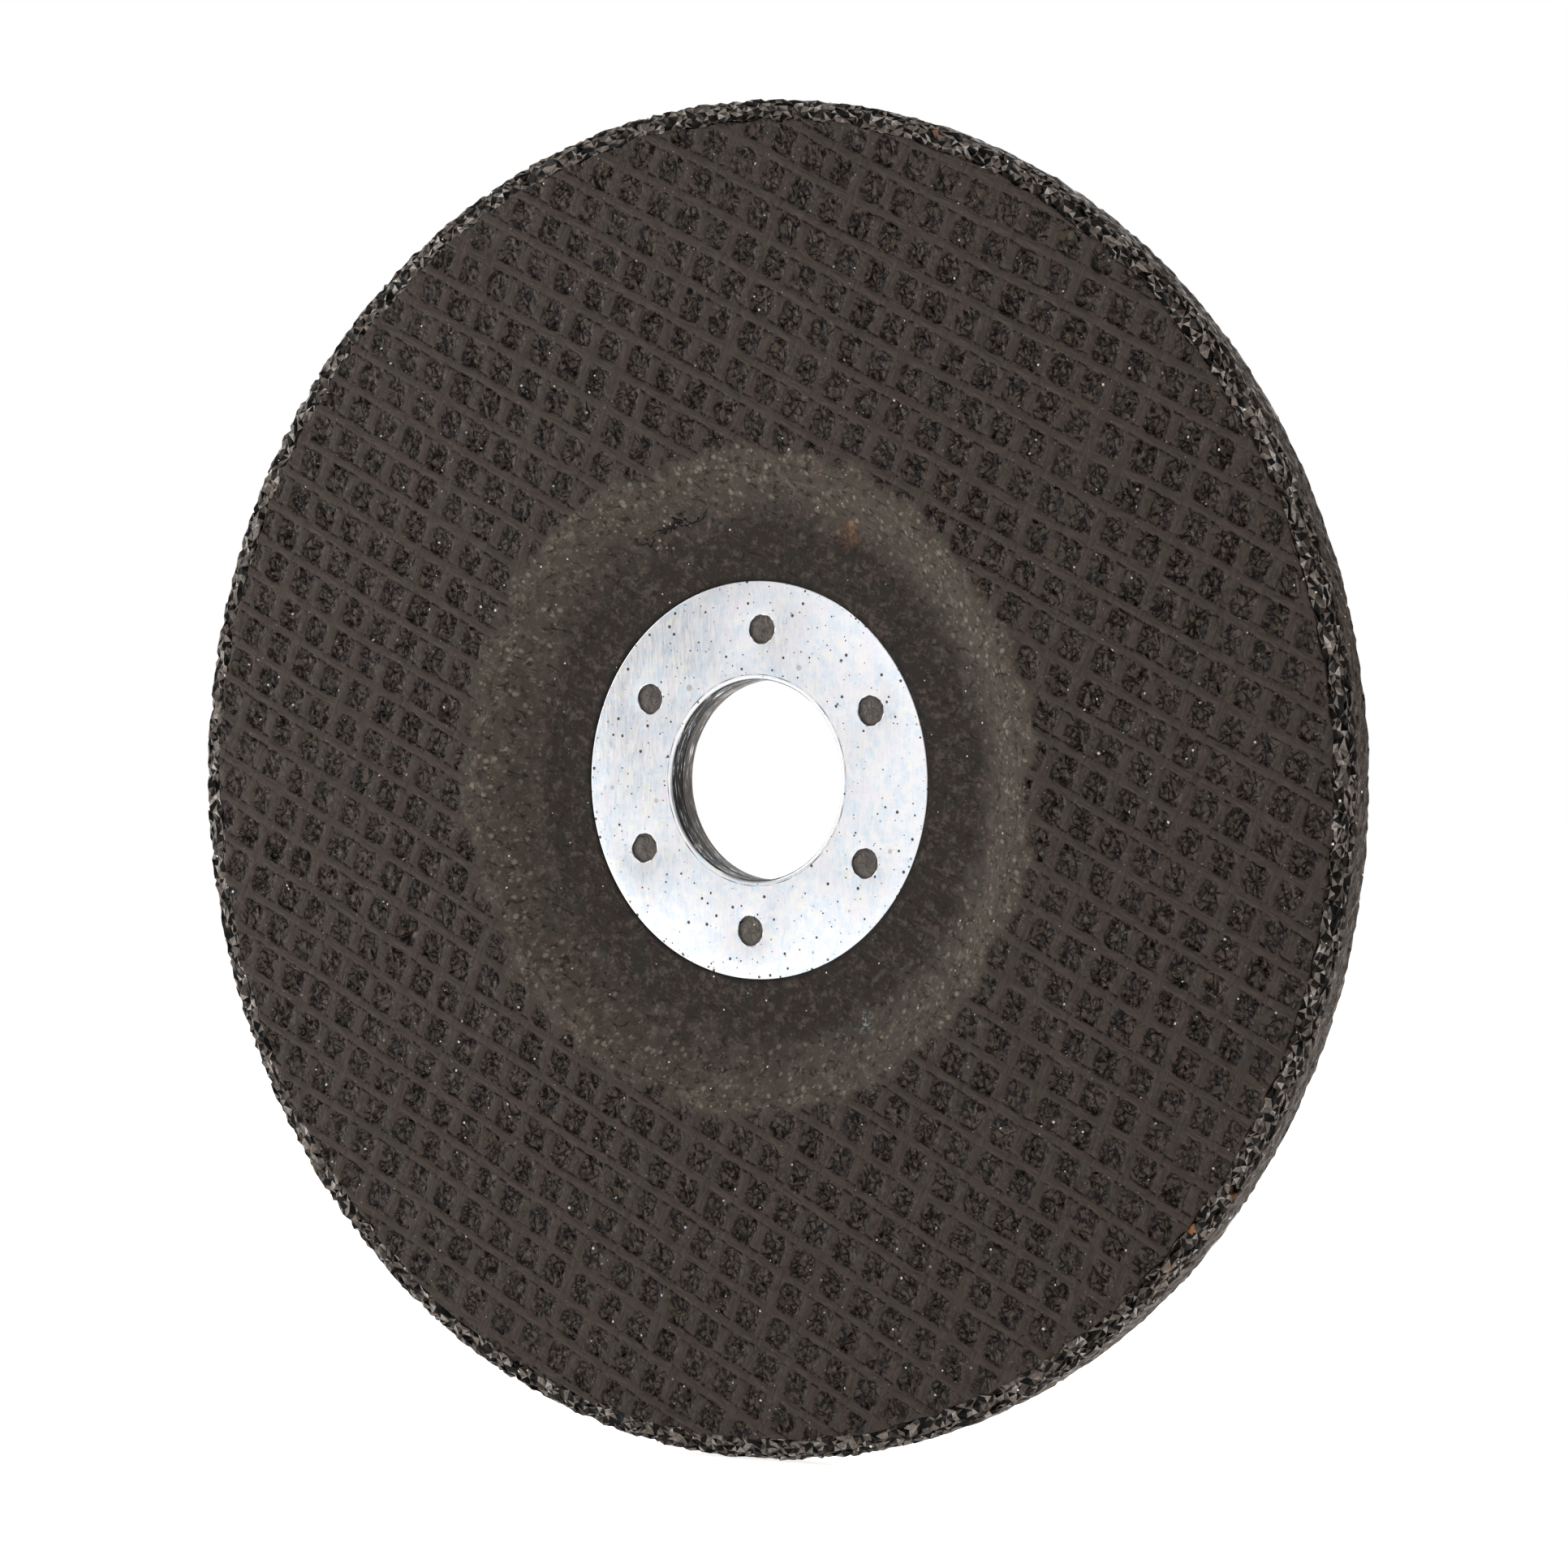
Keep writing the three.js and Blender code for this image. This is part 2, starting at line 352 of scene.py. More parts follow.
def woven_face(name, inner_radius, outer_radius, level, side, thickness, wide, thin, seed):
    """A closed face of the woven glass between two radii, whose ribs lie at one depth.

    side is 1 in front and -1 at the back. wide and thin are its two families of ribs.
    """
    rng = np.random.default_rng(seed)
    u, u_kind, u_number = rib_lines(wide, outer_radius, False)
    v, v_kind, v_number = rib_lines(thin, outer_radius, True)
    shape = (len(u), len(v))
    kind_u = np.broadcast_to(u_kind[:, None], shape)
    kind_v = np.broadcast_to(v_kind[None, :], shape)
    on_rib = (kind_u == CREST) | (kind_v == CREST)
    in_cell = (kind_u == CELL) & ((kind_v == CELL) | (kind_v == BESIDE))
    at_foot = ~on_rib & ~in_cell
    stray = np.where(in_cell & (kind_v == CELL), CELL_STRAY, np.where(on_rib, RIB_STRAY, FOOT_STRAY))
    u = u[:, None] + rng.uniform(-1, 1, shape) * stray
    v = v[None, :] + rng.uniform(-1, 1, shape) * stray
    # how near each point is to a crossing of two ribs: the corners of the cells are filled with resin
    from_wide = np.abs((u - wide["offset"]) / wide["pitch"] % 1 - 0.5) * 2
    from_thin = np.abs((v - thin["offset"]) / thin["pitch"] % 1 - 0.5) * 2
    rounding = smooth_step(np.hypot(from_wide, from_thin), 0.98, 0.76)
    wide_turn, thin_turn = math.radians(wide["bearing"]), math.radians(thin["bearing"])
    turn = np.array([[math.cos(wide_turn), math.sin(wide_turn)], [math.cos(thin_turn), math.sin(thin_turn)]])
    back = np.linalg.inv(turn)
    x = back[0, 0] * u + back[0, 1] * v
    z = back[1, 0] * u + back[1, 1] * v
    shift_x = 0.22 * value_noise(x, z, 14, seed + 1) + 0.09 * value_noise(x, z, 2.7, seed + 9)
    shift_z = 0.22 * value_noise(x, z, 14, seed + 2) + 0.09 * value_noise(x, z, 2.7, seed + 10)
    x, z = x + shift_x, z + shift_z
    # keep what lies between the borders, and pull the border's points on to them
    turned = np.arctan2(z, x) * outer_radius
    outer_border = outer_radius + EDGE_RAGGED * rough_noise(turned, 0 * turned, 2.4, seed + 8, 2)
    radius = np.hypot(x, z)
    inside = (radius < outer_border - 0.02) & (radius > inner_radius + 0.02)
    target = np.where(radius >= outer_border - 0.02, outer_border, inner_radius)
    pull = np.where(inside, 1, target / np.maximum(radius, 0.001))
    x, z = x * pull, z * pull
    radius = np.hypot(x, z)
    # how open each cell is: some are half filled with resin
    fill_table = rng.uniform(0.72, 1.12, (64, 64))
    fill = fill_table[u_number[:, None] % 64, v_number[None, :] % 64]
    fill = fill * (0.93 + 0.2 * value_noise(x, z, 9, seed + 3)) * (0.25 + 0.75 * rounding)
    fill = fill * (0.55 + 0.45 * smooth_step(outer_border - radius, 0.1, 1.2))
    # the weave starts along a ragged line near the inner edge
    border = radius - inner_radius + 1.1 * value_noise(x, z, 3.1, seed + 4)
    border = border + 0.5 * value_noise(x, z, 1.1, seed + 6)
    weave = smooth_step(border, 1.0, 2.4)
    crest = RIB_SUNK + 0.025 * value_noise(x, z, 1.6, seed + 5)
    over = CROSSING_STEP * ((kind_v != CREST) & (kind_u == CREST))
    worn = smooth_step(value_noise(x, z, 3.7, seed + 7), -0.7, 0.2)
    crease = CREASE_SUNK * ((kind_v == FOOT) & (kind_u == CREST)) * worn
    foot = FOOT_SUNK * fill + rng.uniform(-0.06, 0.08, shape)
    pit = CELL_SUNK * fill + rng.uniform(-0.27, 0.24, shape) * fill
    relief = weave * np.where(in_cell, pit, np.where(at_foot, foot, crest + over + crease))
    depth = relief
    if side > 0:
        near_lip = smooth_step(RECESS_LIP_RADIUS + 1.5 - radius, 0, 1.5)
        depth = relief + recess_depth(radius) - shoulder_lumps(x, z) * near_lip * (1 - weave)
    depth = np.maximum(depth, 0.0)
    # triangles
    row, column = np.meshgrid(np.arange(shape[0] - 1), np.arange(shape[1] - 1), indexing="ij")
    index = (row * shape[1] + column).ravel()
    swap = rng.random(index.size) < 0.5
    triangles = split_quads(index, index + shape[1], index + 1, index + shape[1] + 1, swap)
    triangles = triangles[inside.ravel()[triangles].any(axis=1)]
    used = np.unique(triangles)
    renumber = np.full(x.size, -1)
    renumber[used] = np.arange(len(used))
    triangles = renumber[triangles]
    points = np.stack([x, level + side * depth + FACE_Y, z], axis=-1).reshape(-1, 3)[used]
    relief = relief.ravel()[used]
    weave = weave.ravel()[used]
    wide_rib = (kind_u == CREST).astype(float).ravel()[used]
    pits = (in_cell | at_foot).ravel()[used] & (weave > 0.5)
    flat = pits[triangles].sum(axis=1) >= 2
    # a skirt down from both borders, and a plain underside
    outer = loop_by_bearing(points, triangles, outer_radius)
    inner = loop_by_bearing(points, triangles, inner_radius)
    count = len(points)
    low = points[np.concatenate([outer, inner])].copy()
    low[:, 1] = level + side * thickness + FACE_Y
    points = np.concatenate([points, low])
    low_outer = count + np.arange(len(outer))
    low_inner = count + len(outer) + np.arange(len(inner))
    underside = zip_loops(points, low_outer, low_inner)
    extra = np.concatenate([underside, band(outer, low_outer), band(inner, low_inner)])
    triangles = np.concatenate([triangles, extra])
    flat = np.concatenate([flat, np.ones(len(extra), dtype=bool)])
    values = {
        "relief": np.concatenate([relief, np.zeros(len(low))]),
        "weave": np.concatenate([weave, np.ones(len(low))]),
        "wide_rib": np.concatenate([wide_rib, np.zeros(len(low))]),
    }
    return mesh_object(name, points, triangles, flat, values)


# The steel hub rings


def hole_centre(number):
    turn = FIRST_HOLE + number * 2 * math.pi / HOLE_COUNT
    return np.array([HOLE_CIRCLE * math.cos(turn), HOLE_CIRCLE * math.sin(turn)])


def hole_outline(number, radius, seed, count=44):
    """One punched hole, slightly out of round."""
    rng = np.random.default_rng(seed + number)
    angle = np.arange(count) * 2 * math.pi / count
    wave = sum(rng.uniform(-0.06, 0.06) * np.cos(k * angle + rng.uniform(0, 6.28)) for k in (2, 3, 5, 8))
    reach = radius + wave + rng.uniform(-0.012, 0.012, count)
    centre = hole_centre(number)
    return np.stack([centre[0] + reach * np.cos(angle), centre[1] + reach * np.sin(angle)], 1)


def hub_ring(name, face_depth, inwards, seed):
    """A stamped ring with rounded edges, a collar rolled into the bore, and punched holes."""
    columns = RING_COLUMNS
    bearing = np.arange(columns) * 2 * math.pi / columns
    # the edge from the flat face round the outside to the flat back, and round the collar inside
    outer_edge = [(-0.14, 0.0), (-0.08, 0.012), (-0.02, 0.06), (0, 0.12), (0, 0.42), (-0.03, 0.47)]
    outer_edge = [(RING_RADIUS + r, a) for r, a in (*outer_edge, (-0.1, SHEET_THICKNESS))]
    collar_end = FRONT_COLLAR_END - RECESS_DEPTH
    inner_edge = [(COLLAR_RADIUS + 0.12, 0.0)]
    for step in range(ROLL_STEPS + 1):
        angle = math.pi / 2 * step / ROLL_STEPS
        inner_edge.append((
            BORE_RADIUS + ROLL_RADIUS * (1 - math.sin(angle)),
            ROLL_RADIUS * (1 - math.cos(angle)),
        ))
    inner_edge += [(BORE_RADIUS, a) for a in np.linspace(0.55, collar_end - 0.1, 6)]
    inner_edge += [(BORE_RADIUS + 0.04, collar_end - 0.02), (BORE_RADIUS + 0.1, collar_end)]
    inner_edge += [(COLLAR_RADIUS - 0.05, collar_end), (COLLAR_RADIUS, collar_end - 0.06)]
    inner_edge += [(COLLAR_RADIUS, 0.62), (COLLAR_RADIUS + 0.04, 0.53)]
    inner_edge.append((COLLAR_RADIUS + 0.12, SHEET_THICKNESS))

    points = []
    triangles = []
    total = 0
    for edge in (outer_edge, inner_edge):
        points += [at(r, bearing, face_depth + inwards * a) for r, a in edge]
        triangles.append(bands(total, len(edge), columns))
        total += len(edge) * columns
    outer_count = len(outer_edge) * columns
    # the outlines of the flat face and of the flat back: where each starts, and how many points it has
    front_loops = [(0, columns), (outer_count, columns)]
    rear_loops = [(outer_count - columns, columns), (total - columns, columns)]
    # walls of the holes: a small rounded lip at the face, then straight through
    for number in range(HOLE_COUNT):
        outline = hole_outline(number, HOLE_RADIUS, seed)
        centre = outline.mean(axis=0)
        size = len(outline)
        start = total
        for grow, a in HOLE_LIP:
            scale = 1 + grow / HOLE_RADIUS
            flat_points = centre + (outline - centre) * scale
            level = np.full(size, face_depth + inwards * a + FACE_Y)
            points.append(np.stack([flat_points[:, 0], level, flat_points[:, 1]], 1))
            total += size
        triangles.append(bands(start, len(HOLE_LIP), size))
        front_loops.append((start, size))
        rear_loops.append((total - size, size))
    all_points = np.concatenate(points)
    for loops in (front_loops, rear_loops):
        index = np.concatenate([np.arange(first, first + size) for first, size in loops])
        flat_points = [Vector((all_points[i, 0], all_points[i, 2])) for i in index]
        edges = []
        base = 0
        for _, size in loops:
            edges += [(base + i, base + (i + 1) % size) for i in range(size)]
            base += size
        faces = index[np.array(delaunay_2d_cdt(flat_points, edges, [], 0, 1e-7)[2])]
        middle = all_points[faces].mean(axis=1)
        distance = np.hypot(middle[:, 0], middle[:, 2])
        keep = (distance > BORE_RADIUS + 0.5) & (distance < RING_RADIUS)
        for number in range(HOLE_COUNT):
            x, z = hole_centre(number)
            keep &= np.hypot(middle[:, 0] - x, middle[:, 2] - z) > HOLE_RADIUS + 0.02
        triangles.append(faces[keep])
    return mesh_object(name, all_points, np.concatenate(triangles), False)


# Grain in the holes


def hole_plugs(name, top_depth, inwards, seed):
    """A crumpled lump of grain in each hole of a ring, just below its face."""
    rng = np.random.default_rng(seed)
    points, triangles = [], []
    rings, size = PLUG_RINGS, PLUG_POINTS
    start = 0
    for number in range(HOLE_COUNT):
        centre = hole_centre(number)
        local = [np.array([[0.0, 0.0, 0.0]])]
        for ring in range(1, rings + 1):
            reach = PLUG_RADIUS * ring / rings
            angle = np.arange(size) * 2 * math.pi / size + rng.uniform(-0.09, 0.09, size)
            reach = reach + rng.uniform(-0.08, 0.08, size) * (ring < rings)
            fall = PLUG_FALL * (ring / rings) ** 2
            level = fall + rng.uniform(-0.07, 0.07, size) * (ring < rings)
            local.append(np.stack([reach * np.cos(angle), np.full(size, level), reach * np.sin(angle)], 1))
        local.append(local[-1] + np.array([0, PLUG_WALL, 0]))
        local.append(np.array([[0.0, PLUG_HEIGHT, 0.0]]))
        lump = np.concatenate(local)
        lump[:, 1] = top_depth + inwards * lump[:, 1] + FACE_Y
        lump[:, 0] += centre[0]
        lump[:, 2] += centre[1]
        near = np.arange(size)
        ahead = (near + 1) % size
        points.append(lump)
        triangles.append(start + np.stack([np.zeros(size, int), 1 + near, 1 + ahead], 1))
        triangles.append(bands(start + 1, rings + 1, size))
        last = start + 1 + rings * size
        triangles.append(np.stack([last + near, np.full(size, last + size), last + ahead], 1))
        start += len(lump)
    return mesh_object(name, np.concatenate(points), np.concatenate(triangles), True)


# The pieces

front_ring = hub_ring("front_ring", RECESS_DEPTH, 1, 11)
rear_ring = hub_ring("rear_ring", OVERALL_DEPTH, -1, 12)
front_plugs = hole_plugs("front_plugs", RECESS_DEPTH + 0.12, 1, 13)
rear_plugs = hole_plugs("rear_plugs", OVERALL_DEPTH - 0.2, -1, 14)

working_face = woven_face(
    "working_face", WEAVE_START_RADIUS, WEAVE_END_RADIUS, 0, 1, WEAVE_THICKNESS, WIDE_RIBS, THIN_RIBS, 21
)
rear_weave = woven_face(
    "rear_weave", LABEL_RADIUS - 3, WEAVE_END_RADIUS, BACK_DEPTH, -1, REAR_WEAVE_THICKNESS,
    REAR_WIDE_RIBS, REAR_THIN_RIBS, 22,
)


def recess_relief(radius, bearing, depth):
    return shoulder_lumps(radius * np.cos(bearing), radius * np.sin(bearing))


RING_EDGE_RADIUS = RING_RADIUS + 0.02
RECESS_BED_DEPTH = 4.6
recess_shown = stations((RING_EDGE_RADIUS, RECESS_DEPTH + 0.03), (RECESS_FLOOR_RADIUS, RECESS_DEPTH), 0.4)
recess_shown += [(r, recess_depth(r)) for r in np.linspace(RECESS_FLOOR_RADIUS, WEAVE_START_RADIUS, 26)]
recess_hidden = [(WEAVE_START_RADIUS, WEAVE_THICKNESS), (33.5, 2.6), (31.0, 3.9)]
recess_hidden += [(RECESS_FLOOR_RADIUS, RECESS_BED_DEPTH), (RING_EDGE_RADIUS, RECESS_BED_DEPTH)]
recess_grain = shell("recess_grain", recess_shown, recess_hidden, 760, recess_relief, 0.2, False, 41)

# The rim: its grain is coarse in front and fine at the back. The parts meet behind the middle mesh.
RIM_SPLIT_DEPTH = MIDDLE_DEPTH + 0.15
RIM_START_RADIUS = WEAVE_END_RADIUS - 0.6
RIM_COLUMNS = 640
RIM_FRONT_DEPTH = 0.1
RIM_ROUNDING = 0.9
RIM_ROUNDING_STEPS = 4
RIM_SUNK = 0.24
RIM_RAGGED = 0.14
COARSE_CRYSTAL = 0.33
FINE_CRYSTAL = 0.1
REAR_CRYSTAL = 0.11


def crystals(radius, bearing, depth, size, seed):
    """Crystals that stand out by up to this size from a ragged rim, and never past the smooth profile."""
    crystal = np.random.default_rng(seed).uniform(-1, 1, radius.shape)
    ragged = rough_noise(bearing * DISC_RADIUS, radius + depth, 3.2, 52, 3)
    return np.minimum(-RIM_SUNK + size * crystal + RIM_RAGGED * ragged, 0.0)


def rim_relief(radius, bearing, depth):
    """Coarse crystals round the front edge, and finer grain on the periphery."""
    coarse = smooth_step(depth, 1.5, 0.5)
    return crystals(radius, bearing, depth, COARSE_CRYSTAL * coarse + FINE_CRYSTAL * (1 - coarse), 51)


def rear_rim_relief(radius, bearing, depth):
    return crystals(radius, bearing, depth, REAR_CRYSTAL, 53)


rim_shown = stations((RIM_START_RADIUS, 0.55), (WEAVE_END_RADIUS, 0.0), 0.4)
rim_shown += stations((WEAVE_END_RADIUS, 0.0), (DISC_RADIUS - RIM_ROUNDING, RIM_FRONT_DEPTH), 0.6)
for step in range(RIM_ROUNDING_STEPS):
    angle = math.pi / 2 * step / RIM_ROUNDING_STEPS
    rim_shown.append((
        DISC_RADIUS - RIM_ROUNDING * (1 - math.sin(angle)),
        RIM_FRONT_DEPTH + RIM_ROUNDING * (1 - math.cos(angle)),
    ))
rim_shown += stations((DISC_RADIUS, RIM_FRONT_DEPTH + RIM_ROUNDING), (DISC_RADIUS, RIM_SPLIT_DEPTH), 0.4)
rim_shown.append((DISC_RADIUS, RIM_SPLIT_DEPTH))
rim_hidden = [(WEAVE_END_RADIUS, RIM_SPLIT_DEPTH), (RIM_START_RADIUS, RIM_SPLIT_DEPTH)]
rim_hidden.append((RIM_START_RADIUS, WEAVE_THICKNESS))
front_rim = shell("front_rim", rim_shown, rim_hidden, RIM_COLUMNS, rim_relief, 0.36, True, 54)

rear_shown = stations((DISC_RADIUS, RIM_SPLIT_DEPTH), (DISC_RADIUS, BACK_DEPTH - 0.6), 0.35)
rear_shown += [(DISC_RADIUS, BACK_DEPTH - 0.5), (DISC_RADIUS - 0.2, BACK_DEPTH - 0.15)]
rear_shown += stations((DISC_RADIUS - 0.5, BACK_DEPTH), (WEAVE_END_RADIUS, BACK_DEPTH), 0.42)
rear_shown += [(WEAVE_END_RADIUS, BACK_DEPTH), (RIM_START_RADIUS, BACK_DEPTH - 0.5)]
rear_hidden = [(RIM_START_RADIUS, 3.2), (RIM_START_RADIUS, RIM_SPLIT_DEPTH)]
rear_hidden.append((WEAVE_END_RADIUS, RIM_SPLIT_DEPTH))
rear_rim = shell("rear_rim", rear_shown, rear_hidden, RIM_COLUMNS, rear_rim_relief, 0.3, True, 55)


def seam_relief(radius, bearing, depth):
    return 0.16 * rough_noise(bearing * BORE_RADIUS, depth, 0.7, 61, 3) - 0.1


# The seam between the collars is a shallow groove with flared sides.
SEAM_RADIUS = BORE_RADIUS + 0.2
SEAM_FLARE_RADIUS = BORE_RADIUS + 0.45
SEAM_BED_RADIUS = BORE_RADIUS + 0.7
seam_corners = (
    (SEAM_FLARE_RADIUS, FRONT_COLLAR_END - 0.1),
    (SEAM_RADIUS, FRONT_COLLAR_END + 0.05),
    (SEAM_RADIUS, REAR_COLLAR_END - 0.05),
    (SEAM_FLARE_RADIUS, REAR_COLLAR_END + 0.1),
)
seam_shown = []
for start, end in zip(seam_corners, seam_corners[1:]):
    seam_shown += stations(start, end, 0.1)
seam_hidden = [(SEAM_BED_RADIUS, REAR_COLLAR_END), (SEAM_BED_RADIUS, FRONT_COLLAR_END)]
bore_seam = shell("bore_seam", seam_shown, seam_hidden, 400, seam_relief, 0.3, True, 62)


def from_rib(x, z, ribs):
    """How far a place is from the middle of the nearest rib of a family."""
    turn = math.radians(ribs["bearing"])
    part = (x * math.cos(turn) + z * math.sin(turn) - ribs["offset"]) / ribs["pitch"]
    return np.abs((part + 0.5) % 1 - 0.5) * ribs["pitch"]


def label_relief(radius, bearing, depth):
    """Paper pressed on to the rear mesh, so that its cells show as shallow dents."""
    x, z = radius * np.cos(bearing), radius * np.sin(bearing)
    from_wide, from_thin = from_rib(x, z, REAR_WIDE_RIBS), from_rib(x, z, REAR_THIN_RIBS)
    cell = smooth_step(from_wide, 0.5, 1.1) * smooth_step(from_thin, 0.4, 1.0)
    edge = smooth_step(radius, LABEL_RADIUS - 0.1, LABEL_RADIUS)
    crumple = rough_noise(x, z, 3.1, 71, 3)
    return (-0.1 * cell + 0.02 * crumple - 0.03) * (1 - edge)


LABEL_DEPTH = BACK_DEPTH + 0.15
LABEL_BED_DEPTH = BACK_DEPTH - 0.35
LABEL_HUB_BED_DEPTH = LABEL_HUB_DEPTH - 0.5
label_shown = stations((RING_EDGE_RADIUS, LABEL_HUB_DEPTH), (REAR_HUB_RADIUS, LABEL_HUB_DEPTH), 0.5)
label_shown += bend(REAR_HUB_RADIUS, LABEL_HUB_DEPTH, REAR_CONE_RADIUS, LABEL_DEPTH, 18)
label_shown += stations((REAR_CONE_RADIUS, LABEL_DEPTH), (LABEL_RADIUS, LABEL_DEPTH), 0.5)
label_shown.append((LABEL_RADIUS, LABEL_DEPTH))
label_hidden = [(LABEL_RADIUS, LABEL_BED_DEPTH)]
label_hidden += bend(REAR_CONE_RADIUS, LABEL_BED_DEPTH, REAR_HUB_RADIUS, LABEL_HUB_BED_DEPTH, 10)
label_hidden += [(REAR_HUB_RADIUS, LABEL_HUB_BED_DEPTH), (RING_EDGE_RADIUS, LABEL_HUB_BED_DEPTH)]
paper_label = shell("paper_label", label_shown, label_hidden, 720, label_relief, 0.0, False, 72)

# Materials

# Marks on the bare grain: where each lies, its reach, the size of its patches, how much of it they leave
# out, and its colour. First a rust stain, then a pale chip.
STAINS = (
    ((12.3, FACE_Y + 3.2, 27.0), 2.0, 0.5, 0.5, (0.16, 0.062, 0.018)),
    ((14.1, FACE_Y + 3.3, -26.4), 1.5, 0.4, 0.53, (0.2, 0.24, 0.24)),
)
CRACK_RADIUS = 30.4
CRACK_PLACE = (-10.5, FACE_Y + 3.0, 28.2)
CRUMBS_PLACE = (-12.0, FACE_Y + 3.0, 27.6)


class Look:
    """A short way to write a node material in millimetres."""

    def __init__(self, name):
        self.material = bpy.data.materials.new(name)
        self.material.use_nodes = True
        self.tree = self.material.node_tree
        self.tree.nodes.clear()
        place = self.node("TexCoord", {}, "Object")
        self.place = self.node("VectorMath", {0: place, "Scale": 1 / MM}, operation="SCALE")

    def node(self, kind, inputs, output=0, **settings):
        """Add a node, set it up, fill its inputs, and return one of its outputs, or the node itself."""
        node = self.tree.nodes.new("ShaderNode" + kind)
        for key, value in settings.items():
            setattr(node, key, value)
        for key, value in inputs.items():
            self.put(node.inputs[key], value)
        return node if output is None else node.outputs[output]

    def put(self, socket, value):
        if isinstance(value, bpy.types.NodeSocket):
            self.tree.links.new(value, socket)
        elif isinstance(value, tuple):
            socket.default_value = (*value, 1) if len(value) < len(socket.default_value) else value
        else:
            socket.default_value = value

    def math(self, operation, first, second):
        return self.node("Math", {0: first, 1: second}, operation=operation)

    def times(self, first, second):
        return self.math("MULTIPLY", first, second)

    def larger(self, first, second):
        return self.math("MAXIMUM", first, second)

    def between(self, value, low, high, to_low=0.0, to_high=1.0):
        """Map low..high to to_low..to_high, and keep to those ends."""
        inputs = {"Value": value, "From Min": low, "From Max": high, "To Min": to_low, "To Max": to_high}
        return self.node("MapRange", inputs)

    def mix(self, part, first, second, blend="MIX"):
        return self.node("Mix", {"Factor": part, 6: first, 7: second}, 2, data_type="RGBA", blend_type=blend)

    def tint(self, color, value, low, high, new, most=1.0):
        """Turn a colour towards a new one as a value goes from low to high."""
        return self.mix(self.between(value, low, high, 0, most), color, new)

    def grey(self, value):
        return self.node("CombineColor", {0: value, 1: value, 2: value})

    def attribute(self, name):
        return self.node("Attribute", {}, "Fac", attribute_name=name)

    # places

    def stretched(self, x, y, z):
        return self.node("VectorMath", {0: self.place, 1: (x, y, z)}, operation="MULTIPLY")

    def along(self, bearing, across, length):
        """A place for patterns drawn out along the ribs that are counted along this bearing."""
        inputs = {
            "Vector": self.place,
            "Rotation": (0, -math.radians(bearing), 0),
            "Scale": (across, across, length),
        }
        return self.node("Mapping", inputs, vector_type="TEXTURE")

    def on_face(self):
        """A place on the disc's face, so that a flat pattern runs straight through its depth."""
        parts = self.node("SeparateXYZ", {0: self.place}, None)
        return self.node("CombineXYZ", {"X": parts.outputs["X"], "Y": parts.outputs["Z"]})

    def depth(self):
        """The depth behind the working face, in millimetres."""
        return self.math("SUBTRACT", self.node("SeparateXYZ", {0: self.place}, "Y"), FACE_Y)

    def radius(self):
        """The distance from the disc's axis, in millimetres."""
        return self.node("VectorMath", {0: self.stretched(1, 0, 1)}, "Value", operation="LENGTH")

    def near(self, point, reach):
        """1 at a point of the frame, fading to 0 at a distance."""
        away = self.node("VectorMath", {0: self.place, 1: point}, "Value", operation="DISTANCE")
        return self.between(away, 0, reach, 1, 0)

    # patterns

    def noise(self, size, detail=3.0, roughness=0.55, place=None):
        inputs = {"Vector": place or self.place, "Scale": 1 / size, "Detail": detail, "Roughness": roughness}
        return self.node("TexNoise", inputs, "Fac")

    def cells(self, size, feature, flat, bent, place=None):
        """A Voronoi pattern, through the solid or flat on the face, with edges bent by a wave."""
        place = place or (self.on_face() if flat else self.place)
        if bent:
            wave = self.node("TexNoise", {"Vector": place, "Scale": 1.3 / size}, "Color")
            shift = {0: wave, 1: (bent, bent, bent), 2: place}
            place = self.node("VectorMath", shift, operation="MULTIPLY_ADD")
        inputs = {"Vector": place, "Scale": 1 / size}
        dimensions = "2D" if flat else "3D"
        return self.node("TexVoronoi", inputs, None, voronoi_dimensions=dimensions, feature=feature)

    def grains(self, size, flat=False, bent=0.0):
        """Two random numbers for each grain, and the distance from its middle."""
        cells = self.cells(size, "F1", flat, bent)
        chance = self.node("TexWhiteNoise", {"Vector": cells.outputs["Position"]}, "Color")
        parts = self.node("SeparateColor", {0: chance}, None)
        return parts.outputs[0], parts.outputs[1], cells.outputs["Distance"]

    def specks(self, size, share, reach, flat=True):
        """Small round specks: about this share of cells of this size holds one."""
        chance, width, distance = self.grains(size, flat)
        chosen = self.math("GREATER_THAN", chance, 1 - share)
        return self.times(chosen, self.math("LESS_THAN", distance, self.times(width, reach)))

    def soft_specks(self, size, share, reach):
        """Small lumps that fade at their edges."""
        chance, width, distance = self.grains(size, True, size / 2)
        chosen = self.math("GREATER_THAN", chance, 1 - share)
        inner = self.math("SUBTRACT", self.times(width, reach), distance)
        return self.times(chosen, self.between(inner, -0.06, 0.1, 0, 0.8))

    def folds(self, bearing, across, length, width, low, high):
        """Thin broken lines that run mostly along one direction, 1 on the line."""
        inputs = {
            "Vector": self.on_face(),
            "Rotation": (0, 0, math.radians(bearing)),
            "Scale": (across, length, 1),
        }
        place = self.node("Mapping", inputs, vector_type="TEXTURE")
        edge = self.cells(1.0, "DISTANCE_TO_EDGE", True, 0.7, place).outputs["Distance"]
        lines = self.between(edge, 0.4 * width, width, 1, 0)
        return self.times(lines, self.between(self.noise(0.9, 2, place=place), low, high))

